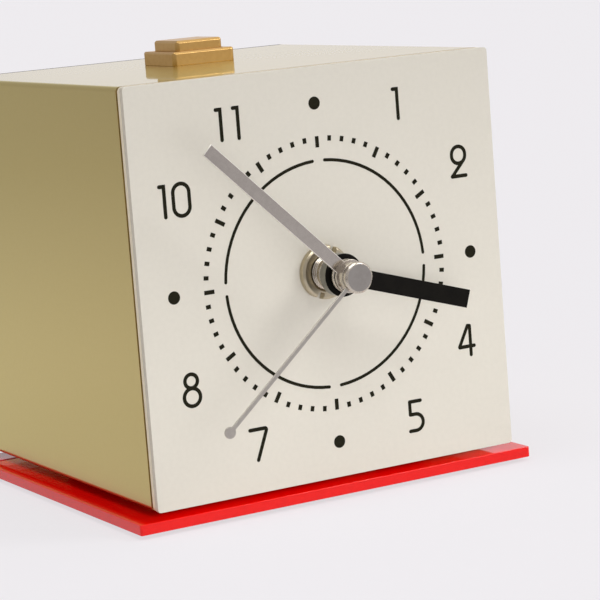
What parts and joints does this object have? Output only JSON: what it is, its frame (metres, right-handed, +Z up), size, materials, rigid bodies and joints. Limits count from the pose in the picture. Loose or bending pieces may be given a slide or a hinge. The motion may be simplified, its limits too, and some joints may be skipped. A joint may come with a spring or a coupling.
{
  "type": "analog desk clock",
  "caption": "Cube-shaped analog desk clock: gold sleeve on a red plate, cream printed dial with bar hands, quartz movement with gear train, battery bay, setting knob and top push button",
  "frame": {"origin": "middle of the underside of the non-slip pad that the clock rests on", "axes": "+Z up, -Y the way the dial faces, +X to the right seen from the front"},
  "size_m": [0.1056, 0.1168, 0.1073],
  "materials": {
    "pad": "matt sheet",
    "red_lacquer": "gloss lacquer",
    "black_plastic": "satin",
    "steel": "zinc plated",
    "gold_sheet": "satin gold anodised",
    "cream_dial": "matt paint with dark print",
    "cream_plastic": "moulded, satin",
    "dark_plastic": "moulded, fine grain",
    "battery_jacket": "printed sleeve",
    "spring_steel": "nickel plated",
    "lead_sheath": "soft sheath",
    "movement_plastic": "moulded",
    "wheel_plastic": "moulded",
    "washer_rubber": "matt",
    "nickel": "polished nickel plate",
    "copper": "enamelled winding",
    "board": "solder mask",
    "pin_brass": "bare",
    "black_hand": "matt black paint",
    "grey_hand": "satin grey",
    "button_gold": "gold plated, satin"
  },
  "bodies": {
    "case": {"base_pad": "pad", "base_plate": "red_lacquer", "base_spacers": "black_plastic", "base_screws": "steel", "base_nuts": "steel", "case_sleeve": "gold_sheet", "dial_plate": "cream_dial", "dial_carrier": "cream_plastic", "rear_cover": "dark_plastic", "tie_bolts": "steel", "battery": "battery_jacket", "battery_contacts": "spring_steel", "battery_spring": "spring_steel", "battery_leads": "lead_sheath", "movement_front": "movement_plastic", "movement_rear": "movement_plastic", "middle_plate": "wheel_plastic", "rubber_washer": "washer_rubber", "mounting_nut": "nickel", "stator": "steel", "coil": "copper", "circuit_board": "board", "board_pins": "pin_brass", "button_housing": "button_gold", "button_nut": "steel", "button_spring": "spring_steel", "button_pins": "pin_brass", "switch_leads": "lead_sheath"},
    "seconds": {"second_wheel": "wheel_plastic", "second_hand": "grey_hand", "second_cap": "nickel"},
    "minutes": {"minute_wheel": "wheel_plastic", "minute_hand": "grey_hand"},
    "hours": {"hour_wheel": "wheel_plastic", "hour_hand": "black_hand"},
    "third": {"third_wheel": "wheel_plastic"},
    "motion": {"motion_wheel": "wheel_plastic"},
    "intermediate": {"intermediate_wheel": "wheel_plastic"},
    "rotor": {"rotor": "steel"},
    "setting": {"setting_stem": "steel", "setting_knob": "black_plastic"},
    "button": {"top_button": "button_gold"},
    "door": {"battery_door": "dark_plastic"}
  },
  "joints": [
    {"name": "second_turn", "type": "hinge", "parent": "case", "child": "seconds", "pos_m": [-0.00095, -0.05, 0.054], "axis": [0, 1, 0], "continuous": true},
    {"name": "minute_turn", "type": "hinge", "parent": "case", "child": "minutes", "pos_m": [-0.00095, -0.05, 0.054], "axis": [0, 1, 0], "continuous": true},
    {"name": "hour_turn", "type": "hinge", "parent": "case", "child": "hours", "pos_m": [-0.00095, -0.05, 0.054], "axis": [0, 1, 0], "continuous": true},
    {"name": "third_turn", "type": "hinge", "parent": "case", "child": "third", "pos_m": [0.00788, -0.05, 0.0489], "axis": [0, 1, 0], "continuous": true},
    {"name": "motion_turn", "type": "hinge", "parent": "case", "child": "motion", "pos_m": [-0.00802, -0.05, 0.06107], "axis": [0, 1, 0], "continuous": true},
    {"name": "setting_turn", "type": "hinge", "parent": "case", "child": "setting", "pos_m": [-0.00095, -0.05, 0.06814], "axis": [0, 1, 0], "continuous": true},
    {"name": "intermediate_turn", "type": "hinge", "parent": "case", "child": "intermediate", "pos_m": [-0.00701, -0.05, 0.0505], "axis": [0, 1, 0], "continuous": true},
    {"name": "rotor_turn", "type": "hinge", "parent": "case", "child": "rotor", "pos_m": [-0.00906, -0.05, 0.04486], "axis": [0, 1, 0], "continuous": true},
    {"name": "button_press", "type": "slide", "parent": "case", "child": "button", "axis": [0, 0, -1], "range_m": [0, 0.002], "stiffness_N_per_m": 400, "deforming": ["button_spring"]},
    {"name": "door_slide", "type": "slide", "parent": "case", "child": "door", "axis": [1, 0, 0], "range_m": [0, 0.012]}
  ],
  "couplings": [
    {"joint": "minute_turn", "follows": "second_turn", "ratio": 0.016667},
    {"joint": "hour_turn", "follows": "second_turn", "ratio": 0.0013889},
    {"joint": "third_turn", "follows": "second_turn", "ratio": -0.13333},
    {"joint": "motion_turn", "follows": "second_turn", "ratio": -0.0055556},
    {"joint": "setting_turn", "follows": "second_turn", "ratio": 0.016667},
    {"joint": "intermediate_turn", "follows": "second_turn", "ratio": -6},
    {"joint": "rotor_turn", "follows": "second_turn", "ratio": 30}
  ]
}
